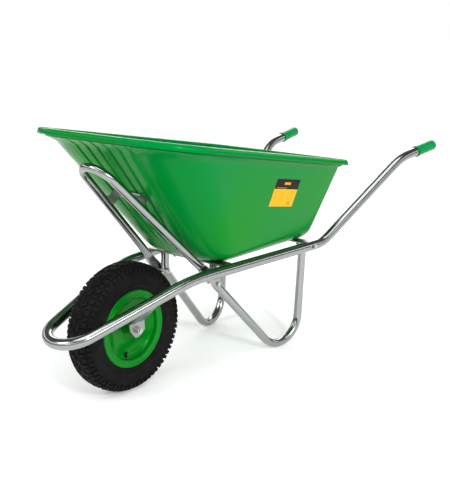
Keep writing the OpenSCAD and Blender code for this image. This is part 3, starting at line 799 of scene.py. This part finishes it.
def rib_share(up):
    """How much of the ribs shows at a height: they fade at the foot and under the lip."""
    rise = smooth((up - RIBS_START) / (RIBS_FULL - RIBS_START))
    return rise * smooth((RIBS_END - up) / (RIBS_END - RIBS_FADE))


def lip_profile():
    """The lip seen on end: (distance out of the wall, height from the rim)."""
    line = [(0, -0.024), (0, -0.007), (0.004, -0.0042), (LIP_OUT - 0.009, -0.0042),
            (LIP_OUT - 0.0055, -0.008), (LIP_OUT - 0.0035, -LIP_DROP),
            (LIP_OUT - 0.0015, -LIP_DROP - 0.0004), (LIP_OUT, -LIP_DROP + 0.0008),
            (LIP_OUT - 0.0008, -0.012), (LIP_OUT - 0.0038, -0.0042),
            (LIP_OUT - 0.0075, -0.0016), (LIP_OUT - 0.013, -0.0006), (0.004, -0.0004),
            (-0.001, -0.0012), (-TRAY_WALL, -0.006), (-TRAY_WALL, -0.024)]
    return softened(line)


def floor_rings(ring):
    """Rings from the foot of the walls to the middle of the floor."""
    middle = sum(ring, Vector()) / len(ring)
    return [[p.lerp(middle, share) for p in ring] for share in FLOOR_RINGS]


class BARROW_OT_tray(Operator):
    """Moulds the tray with its rounded foot, ribs and rolled lip."""
    bl_idname = "barrow.tray"
    bl_label = "Tray"

    def execute(self, context):
        height = sizes().rib_height
        levels = [WALL_FROM + (WALL_TO - WALL_FROM) * k / WALL_RINGS for k in range(WALL_RINGS + 1)]
        foot = [math.pi / 2 * k / FOOT_RINGS for k in range(FOOT_RINGS + 1)]
        outer_foot = [foot_ring(a, 0.0) for a in foot]
        inner_foot = [foot_ring(a, TRAY_WALL) for a in reversed(foot)]
        rings = list(reversed(floor_rings(outer_foot[0]))) + outer_foot
        rings += [tray_ring(up, 0.0, height * rib_share(up)) for up in levels]
        rings += [tray_ring(1.0, out, 0.0, lift) for out, lift in lip_profile()]
        rings += [tray_ring(up, -TRAY_WALL, height * rib_share(up)) for up in reversed(levels)]
        rings += inner_foot + floor_rings(inner_foot[-1])
        verts = [p for ring in rings for p in ring]
        faces = ring_faces(len(rings), len(rings[0]))
        made = piece("moulded_tray", verts, faces, "frame",
                     [finish_of("tray plastic", glossy_plastic, colours().tray)])
        sharpen(made, 50)
        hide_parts("tray")
        return {"FINISHED"}


# ---- Label ----

def wall_place(along, up, grow):
    """A place on the left wall, from shares of its length and its height."""
    low = outline(FLOOR_OUTLINE, grow)
    high = outline(LIP_OUTLINE, grow - LIP_OUT)
    a, b = CORNER_STEPS, CORNER_STEPS + SIDE_STEPS
    low_at = low[a].lerp(low[b], along)
    high_at = high[a].lerp(high[b], along)
    flat = low_at.lerp(high_at, up)
    return Vector((flat.x, flat.y, TRAY_BASE + (rim_z(high_at.x) - TRAY_BASE) * up))


def wall_at(x, z, grow):
    """The place on the left wall at a given x and z, closed in on step by step."""
    along, up = 0.5, 0.5
    for _ in range(14):
        place = wall_place(along, up, grow)
        along += (x - place.x) / WALL_RUN
        up += (z - place.z) / WALL_RISE
    return from_axle(wall_place(along, up, grow))


def within(across, height, area):
    return area[0] < across < area[1] and area[2] < height < area[3]


def label_ink(across, height):
    """Which ink covers a place on the label."""
    if within(across, height, PATCH_AREA):
        return PATCH
    if within(across, height, RULE_AREA) or within(across, height, SEAL_AREA):
        return BARS
    if within(across, height, BAND_AREA):
        return BAND
    on_bar = across * BAR_COLUMNS % 1.0 < BAR_LENGTH and height * BAR_ROWS % 1.0 < BAR_HEIGHT
    return BARS if on_bar and within(across, height, BARS_AREA) else FIELD


class BARROW_OT_label(Operator):
    """Lays the printed label on the left wall, with plain bars of colour only."""
    bl_idname = "barrow.label"
    bl_label = "Label"

    def execute(self, context):
        verts = []
        for grow in (LABEL_BACK, LABEL_FACE):
            for i in range(LABEL_COLUMNS + 1):
                x = LABEL_REAR + (LABEL_FRONT - LABEL_REAR) * i / LABEL_COLUMNS
                for j in range(LABEL_ROWS + 1):
                    z = LABEL_LOW + (LABEL_HIGH - LABEL_LOW) * j / LABEL_ROWS
                    verts.append(wall_at(x, z + RIM_RISE * (x - LABEL_REAR), grow))
        column = LABEL_ROWS + 1
        top = (LABEL_COLUMNS + 1) * column
        faces, inks = [], []
        for i in range(LABEL_COLUMNS):
            for j in range(LABEL_ROWS):
                a = i * column + j
                faces.append((a, a + 1, a + column + 1, a + column))
                inks.append(FIELD)
                faces.append((top + a, top + a + column, top + a + column + 1, top + a + 1))
                # the wheel end of the label is its last column, and its inks start there
                inks.append(label_ink(1 - (i + 0.5) / LABEL_COLUMNS, (j + 0.5) / LABEL_ROWS))
        edge = [i * column for i in range(LABEL_COLUMNS)]
        edge += [LABEL_COLUMNS * column + j for j in range(LABEL_ROWS)]
        edge += [i * column + LABEL_ROWS for i in range(LABEL_COLUMNS, 0, -1)]
        edge += list(range(LABEL_ROWS, 0, -1))
        for a, b in zip(edge, edge[1:] + edge[:1]):
            faces.append((a, b, top + b, top + a))
            inks.append(FIELD)
        c = colours()
        films = [finish_of("label field", printed_film, c.label_field),
                 finish_of("label band", printed_film, c.label_band),
                 finish_of("label patch", printed_film, c.label_patch),
                 finish_of("label faint bars", printed_film, toward(c.label_field, c.label_band, 0.35))]
        made = piece("wall_label", verts, faces, "frame", films, inks)
        sharpen(made, 40)
        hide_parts("tray_label")
        return {"FINISHED"}


# ---- Grips ----

def build_grip(side, name, node):
    """One grip: a plain sleeve with a collar at its front and a rounded edge at its end."""
    knee, end = from_axle(HANDLE_KNEE), from_axle(HANDLE_END)
    if side < 0:
        knee, end = mirrored(knee), mirrored(end)
    axis = (end - knee).normalized()
    start = end - axis * (GRIP_LENGTH - GRIP_CAP)
    collar = [(TUBE_R - 0.0005, 0.012), (TUBE_R - 0.0003, 0.0), (GRIP_R + 0.0012, 0.0002),
              (GRIP_R + 0.002, 0.0016), (GRIP_R + 0.0018, 0.0042), (GRIP_R - 0.0002, 0.0058)]
    sleeve = [(GRIP_R - 0.0003, 0.008), (GRIP_R, 0.014), (GRIP_R, GRIP_LENGTH - 0.011)]
    edge = []
    for k in range(1, GRIP_EDGE_STEPS + 1):
        angle = math.pi / 2 * k / GRIP_EDGE_STEPS
        edge.append((GRIP_R - GRIP_EDGE + GRIP_EDGE * math.cos(angle),
                     GRIP_LENGTH - GRIP_EDGE + GRIP_EDGE * math.sin(angle)))
    end_face = [(0.006, GRIP_LENGTH - 0.0002), (0.0008, GRIP_LENGTH - 0.0008)]
    profile = [(0.0008, 0.012)] + collar + sleeve + edge + end_face
    verts, faces = spindle(profile, start, axis)
    plastic = finish_of("grip plastic", glossy_plastic, colours().grip, rough=(0.22, 0.36), ripple=0.09)
    made = piece(name, verts, faces, "frame", [plastic])
    sharpen(made, 40)
    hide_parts(node)


class BARROW_OT_grips(Operator):
    """Turns the two grips."""
    bl_idname = "barrow.grips"
    bl_label = "Grips"

    def execute(self, context):
        build_grip(1, "sleeve_grip_left", "grip_left")
        build_grip(-1, "sleeve_grip_right", "grip_right")
        return {"FINISHED"}


# ---- Wheel ----

def on_tread(turn, lean, height):
    """A point over the carcass: turn round the axle, lean from the crown, height off it."""
    reach = (CARCASS_R + height) * (1 + SHOULDER_SWELL * math.sin(2 * lean) ** 2)
    r = SECTION_AT + reach * math.cos(lean)
    return on_wheel(r * math.cos(turn), r * math.sin(turn), reach * math.sin(lean))


def add_lug(verts, faces, corners, height, steps=3):
    """One tread lug over a four-cornered patch of (turn, lean), narrowing to its top."""
    middle = sum((Vector(c) for c in corners), Vector((0, 0))) / 4
    layers = []
    # each layer is (height off the carcass, share by which it's drawn in to the middle)
    for lift, inset in ((LUG_ROOT, 0.0), (height - LUG_EDGE, 0.104), (height, 0.1885)):
        a, b, c, d = (Vector(p).lerp(middle, inset) for p in corners)
        grid = []
        for i in range(steps + 1):
            left, right = a.lerp(d, i / steps), b.lerp(c, i / steps)
            for j in range(steps + 1):
                turn, lean = left.lerp(right, j / steps)
                grid.append(on_tread(turn, lean, lift))
        layers.append(grid)
    n = steps + 1
    rim = list(range(n)) + [i * n + steps for i in range(1, n)]
    rim += [steps * n + j for j in range(steps - 1, -1, -1)] + [i * n for i in range(steps - 1, 0, -1)]
    base = len(verts)
    for grid in layers:
        verts.extend(grid)
    size = n * n
    for low in range(len(layers) - 1):
        for a, b in zip(rim, rim[1:] + rim[:1]):
            p = base + low * size
            faces.append((p + a, p + b, p + size + b, p + size + a))
    top = base + (len(layers) - 1) * size
    for i in range(steps):
        for j in range(steps):
            a = i * n + j
            faces.append((top + a, top + a + 1, top + a + n + 1, top + a + n))
            faces.append((base + a, base + a + n, base + a + n + 1, base + a + 1))


def build_tyre():
    """Carcass with bead, side rings and rows of lugs, all one piece of rubber."""
    crown = []
    for lean in range(0, 91, 5):
        place = on_tread(0.0, math.radians(lean), 0.0)
        crown.append((place.x - AXLE.x, place.y))
    side = [(0.1455, 0.0455), (0.1405, 0.0452), (0.1390, 0.0459), (0.1370, 0.0458), (0.1355, 0.0446),
            (0.1310, 0.0434), (0.1262, 0.0420), (0.1240, 0.0424), (0.1222, 0.0414), (0.1205, 0.0396),
            (0.1120, 0.0388), (0.1020, 0.0384)]
    inside = [(0.1010, 0.0345), (0.1100, 0.0320), (0.1250, 0.0330), (0.1400, 0.0375), (0.1500, 0.0385),
              (0.1650, 0.0350), (0.1780, 0.0250), (0.1865, 0.0120), (0.1885, 0.0)]
    half = crown + side + inside
    profile = half + [(r, -along) for r, along in reversed(half[1:-1])]
    verts, faces = lathe(profile)
    lug_verts, lug_faces = [], []
    pitches = sizes().lug_pitches
    step = math.tau / pitches
    height = sizes().lug_height
    rows = [(patch, height) for patch in CROWN_LUGS]
    rows += [(patch, height * SHOULDER_LUG_LIFT) for patch in SHOULDER_LUGS]
    for k in range(pitches):
        for sign, offset in ((1, 0.0), (-1, 0.5)):
            for patch, lug_height in rows:
                corners = [((k + offset + share) * step, sign * math.radians(lean))
                           for share, lean in patch]
                add_lug(lug_verts, lug_faces, corners, lug_height)
    base = len(verts)
    verts = verts + lug_verts
    faces = faces + [tuple(base + i for i in f) for f in lug_faces]
    made = piece("tread_tyre", verts, faces, "wheel",
                 [finish_of("tread rubber", rubber, colours().rubber)])
    sharpen(made, 32)
    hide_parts("tyre")


def rim_line():
    """Middle of the pressed sheet, from the hub to the flange: (radius, distance)."""
    flat_r, bowl_r = 0.036, 0.086
    flat_at, bowl_at = 0.003, 0.021
    bowl_steps = 8
    hub = [(0.0192, 0.0062), (0.0215, 0.0035), (0.026, flat_at), (flat_r, flat_at)]
    bowl = []
    for k in range(1, bowl_steps + 1):
        share = k / bowl_steps
        bowl.append((flat_r + (bowl_r - flat_r) * share, flat_at + (bowl_at - flat_at) * share ** 1.7))
    flange = [(0.0895, 0.0225), (0.0925, 0.0258), (0.0962, 0.0275), (0.0972, 0.032), (0.0980, 0.0382),
              (0.0998, 0.0400), (0.1040, 0.0404), (0.1075, 0.0392), (0.1105, 0.0398), (0.1150, 0.0411),
              (0.1185, 0.0409), (0.1200, 0.0390), (0.1196, 0.0368)]
    return softened(hub + bowl + flange)


def build_rims():
    paint = finish_of("rim paint", gloss_paint, colours().rim)
    halves = ((1, "pressed_rim_left", "rim_half_left"), (-1, "pressed_rim_right", "rim_half_right"))
    for sign, name, node in halves:
        profile = [(r, sign * along) for r, along in both_faces(rim_line(), RIM_SHEET)]
        verts, faces = lathe(profile)
        made = piece(name, verts, faces, "wheel", [paint])
        sharpen(made, 45)
        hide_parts(node)
    half = [(HUB_BORE_R, HUB_HALF_L), (HUB_R - 0.0004, HUB_HALF_L), (HUB_R, HUB_HALF_L - 0.0006)]
    verts, faces = lathe(half + [(r, -along) for r, along in reversed(half)])
    made = piece("hub_barrel", verts, faces, "wheel", [paint])
    sharpen(made, 30)
    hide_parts("hub_tube")


def build_valve():
    """Rubber stem with a flange, and a ridged cap."""
    turn = Matrix.Rotation(-VALVE_ANGLE, 3, "Y")

    def place(r, along):
        return AXLE + turn @ Vector((r, 0, 0)) + Vector((0, along, 0))

    root, tip = place(*VALVE_ROOT), place(*VALVE_TIP)
    axis = (tip - root).normalized()
    run = (tip - root).length
    neck = run - VALVE_CAP
    stem = [(0.0006, 0.0002), (0.0044, 0.0004), (0.0045, 0.0100), (0.0058, 0.0112), (0.0058, 0.0128),
            (0.0047, 0.0142), (0.0043, neck - 0.001), (0.0038, neck + 0.001), (0.0006, neck + 0.0012)]
    verts, faces = spindle(stem, root, axis)
    made = piece("valve_rubber", verts, faces, "wheel", [soft_rubber_finish()])
    sharpen(made, 40)
    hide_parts("valve_stem")
    ridges = [(0.0006, neck + 0.0016)]
    for k in range(4):
        at = neck + 0.0017 + 0.0018 * k
        ridges += [(0.0042, at), (0.0042, at + 0.0010), (0.0038, at + 0.0013), (0.0038, at + 0.0016)]
    ridges += [(0.0036, run - 0.0008), (0.0028, run), (0.0006, run)]
    verts, faces = spindle(ridges, root, axis)
    made = piece("valve_dust_cap", verts, faces, "wheel",
                 [finish_of("cap plastic", glossy_plastic, (0.012, 0.012, 0.012), rough=(0.35, 0.5))])
    sharpen(made, 40)
    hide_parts("valve_cap")


class BARROW_OT_wheel(Operator):
    """Builds the tyre, the pressed rims, the hub and the valve."""
    bl_idname = "barrow.wheel"
    bl_label = "Wheel"

    def execute(self, context):
        build_tyre()
        build_rims()
        build_valve()
        return {"FINISHED"}


# ---- Plates, bolts and bearings that keep the frame's own shapes ----

class BARROW_OT_fixings(Operator):
    """Finishes the plates, bolts, nuts, washers and bearing parts of the frame."""
    bl_idname = "barrow.fixings"
    bl_label = "Plates and fixings"

    def execute(self, context):
        by_slot = {
            "bright_zinc": zinc_plate_finish,
            "fasteners": fixing_finish,
            "bearing_steel": bearing_finish,
            "tube_rubber": soft_rubber_finish,
        }
        for part in frame["record"]["subparts"]:
            made = frame["nodes"][part["node"]]
            if made.hide_render or part["material_slot"] not in by_slot:
                continue
            finish = by_slot[part["material_slot"]]()
            for place in made.material_slots:
                place.material = finish
            if part["node"] in BEVELLED:
                weld = made.modifiers.new("join faces", "WELD")
                weld.merge_threshold = WELD_WITHIN
                round_off = made.modifiers.new("rounded edges", "BEVEL")
                round_off.width = BEVELLED[part["node"]]
                round_off.segments = 2
                round_off.limit_method = "ANGLE"
                round_off.angle_limit = BEVEL_FROM
                round_off.harden_normals = False
        return {"FINISHED"}


# ---- Stage ----

CAMERA_AT = Vector((2.0870, 1.7177, 1.0775))
CAMERA_YAW = math.radians(49.82)
CAMERA_PITCH = math.radians(15.63)
CAMERA_LENS = 57.68


def add_softbox(name, at, target, size, power):
    """A rectangular lamp that faces a target and stays out of the picture."""
    light = bpy.data.lights.new(name, "AREA")
    light.shape = "RECTANGLE"
    light.size, light.size_y = size
    light.energy = power
    made = bpy.data.objects.new(name, light)
    made.location = at
    made.rotation_euler = (Vector(target) - Vector(at)).to_track_quat("-Z", "Y").to_euler()
    made.visible_camera = False
    bpy.context.scene.collection.objects.link(made)


def add_sun(name, towards, spread, strength):
    """A broad light from a direction, the same all over the floor."""
    light = bpy.data.lights.new(name, "SUN")
    light.angle = math.radians(spread)
    light.energy = strength
    made = bpy.data.objects.new(name, light)
    made.rotation_euler = Vector(towards).to_track_quat("Z", "Y").to_euler()
    bpy.context.scene.collection.objects.link(made)


def build_floor():
    """Pale floor that glows a little, so that it stays nearly white between the lamps."""
    mesh = bpy.data.meshes.new("floor")
    reach = 60.0
    mesh.from_pydata([(-reach, -reach, 0), (reach, -reach, 0), (reach, reach, 0), (-reach, reach, 0)],
                     [], [(0, 1, 2, 3)])
    made = Finish("pale floor")
    clouds = made.spread(made.noise(3.0), 0.0, 1.0)
    made.feed("Base Color", made.mix(clouds, (0.90, 0.90, 0.90), (0.92, 0.92, 0.92)))
    made.set(Roughness=0.75, Emission_Color=(1.0, 1.0, 1.0, 1.0), Emission_Strength=0.19)
    mesh.materials.append(made.material)
    floor = bpy.data.objects.new("floor", mesh)
    bpy.context.scene.collection.objects.link(floor)


def build_world():
    """Dark studio surroundings with one bright band for the plating to mirror, and plain white
    behind the barrow."""
    world = bpy.data.worlds.new("studio")
    world.use_nodes = True
    tree = world.node_tree
    background = tree.nodes["Background"]
    place = tree.nodes.new("ShaderNodeTexCoord")
    split = tree.nodes.new("ShaderNodeSeparateXYZ")
    ramp = tree.nodes.new("ShaderNodeValToRGB")
    # (share of the way from the horizon to overhead, grey)
    bands = ((0.0, 0.15), (0.05, 0.02), (0.22, 0.04), (0.29, 1.0), (0.38, 1.0), (0.45, 0.05), (1.0, 0.06))
    while len(ramp.color_ramp.elements) < len(bands):
        ramp.color_ramp.elements.new(0.5)
    for element, (at, grey) in zip(ramp.color_ramp.elements, bands):
        element.position = at
        element.color = (grey, grey, grey, 1.0)
    tree.links.new(place.outputs["Generated"], split.inputs["Vector"])
    tree.links.new(split.outputs["Z"], ramp.inputs["Fac"])
    tree.links.new(ramp.outputs["Color"], background.inputs["Color"])
    background.inputs["Strength"].default_value = 2.2
    white = tree.nodes.new("ShaderNodeBackground")
    white.inputs["Color"].default_value = (1.0, 1.0, 1.0, 1.0)
    white.inputs["Strength"].default_value = 1.0
    path = tree.nodes.new("ShaderNodeLightPath")
    mix = tree.nodes.new("ShaderNodeMixShader")
    tree.links.new(path.outputs["Is Camera Ray"], mix.inputs["Fac"])
    tree.links.new(background.outputs["Background"], mix.inputs[1])
    tree.links.new(white.outputs["Background"], mix.inputs[2])
    tree.links.new(mix.outputs["Shader"], tree.nodes["World Output"].inputs["Surface"])
    bpy.context.scene.world = world


def build_camera():
    """Camera in front and to the left of the barrow, looking back and a little down at it."""
    camera = bpy.data.cameras.new("camera")
    camera.lens = CAMERA_LENS
    camera.sensor_width = 36.0
    camera.clip_start, camera.clip_end = 0.05, 200.0
    made = bpy.data.objects.new("camera", camera)
    made.location = CAMERA_AT
    way = Vector((-math.sin(CAMERA_YAW) * math.cos(CAMERA_PITCH),
                  -math.cos(CAMERA_YAW) * math.cos(CAMERA_PITCH),
                  -math.sin(CAMERA_PITCH)))
    made.rotation_euler = way.to_track_quat("-Z", "Y").to_euler()
    bpy.context.scene.collection.objects.link(made)
    bpy.context.scene.camera = made


class BARROW_OT_stage(Operator):
    """Sets the pale floor, the soft lights and the camera."""
    bl_idname = "barrow.stage"
    bl_label = "Stage"

    def execute(self, context):
        build_floor()
        build_world()
        build_camera()
        middle = (0.0, 0.0, 0.45)
        add_sun("overhead", (0.15, 0.25, 1.0), 50.0, 1.5)
        add_sun("from the left", (0.9, -0.35, 0.85), 25.0, 0.9)
        add_softbox("front softbox", (1.0, 3.6, 2.2), middle, (2.4, 0.5), 44.0)
        add_softbox("key lamp", (1.6, 3.0, 2.3), (AXLE.x, 0.0, AXLE.z), (0.3, 0.3), 34.0)
        add_softbox("wheel softbox", (3.4, 0.4, 2.0), middle, (0.5, 2.2), 6.0)
        add_softbox("back softbox", (-2.9, -2.5, 2.1), middle, (3.4, 1.1), 45.0)
        context.scene.view_settings.view_transform = "Standard"
        return {"FINISHED"}


# ---- Add-on ----

OPERATORS = (BARROW_OT_tubes, BARROW_OT_tray, BARROW_OT_label, BARROW_OT_grips, BARROW_OT_wheel,
             BARROW_OT_fixings, BARROW_OT_stage)


class BARROW_PT_panel(Panel):
    """Lists the barrow's operators, sizes and colours."""
    bl_label = "Barrow"
    bl_space_type = "VIEW_3D"
    bl_region_type = "UI"
    bl_category = "Barrow"

    def draw(self, context):
        layout = self.layout
        for operator in OPERATORS:
            layout.operator(operator.bl_idname)
        for group in (context.scene.barrow_sizes, context.scene.barrow_colours):
            box = layout.box()
            for key in group.bl_rna.properties.keys():
                if key not in {"rna_type", "name"}:
                    box.prop(group, key)


CLASSES = (BarrowSizes, BarrowColours, *OPERATORS, BARROW_PT_panel)


def register():
    for made in CLASSES:
        bpy.utils.register_class(made)
    bpy.types.Scene.barrow_sizes = PointerProperty(type=BarrowSizes)
    bpy.types.Scene.barrow_colours = PointerProperty(type=BarrowColours)


def unregister():
    del bpy.types.Scene.barrow_colours
    del bpy.types.Scene.barrow_sizes
    for made in reversed(CLASSES):
        bpy.utils.unregister_class(made)


def main():
    """Builds the barrow and its stage."""
    register()
    bpy.ops.barrow.tubes()
    bpy.ops.barrow.tray()
    bpy.ops.barrow.label()
    bpy.ops.barrow.grips()
    bpy.ops.barrow.wheel()
    bpy.ops.barrow.fixings()
    bpy.ops.barrow.stage()


if __name__ == "__main__":
    main()
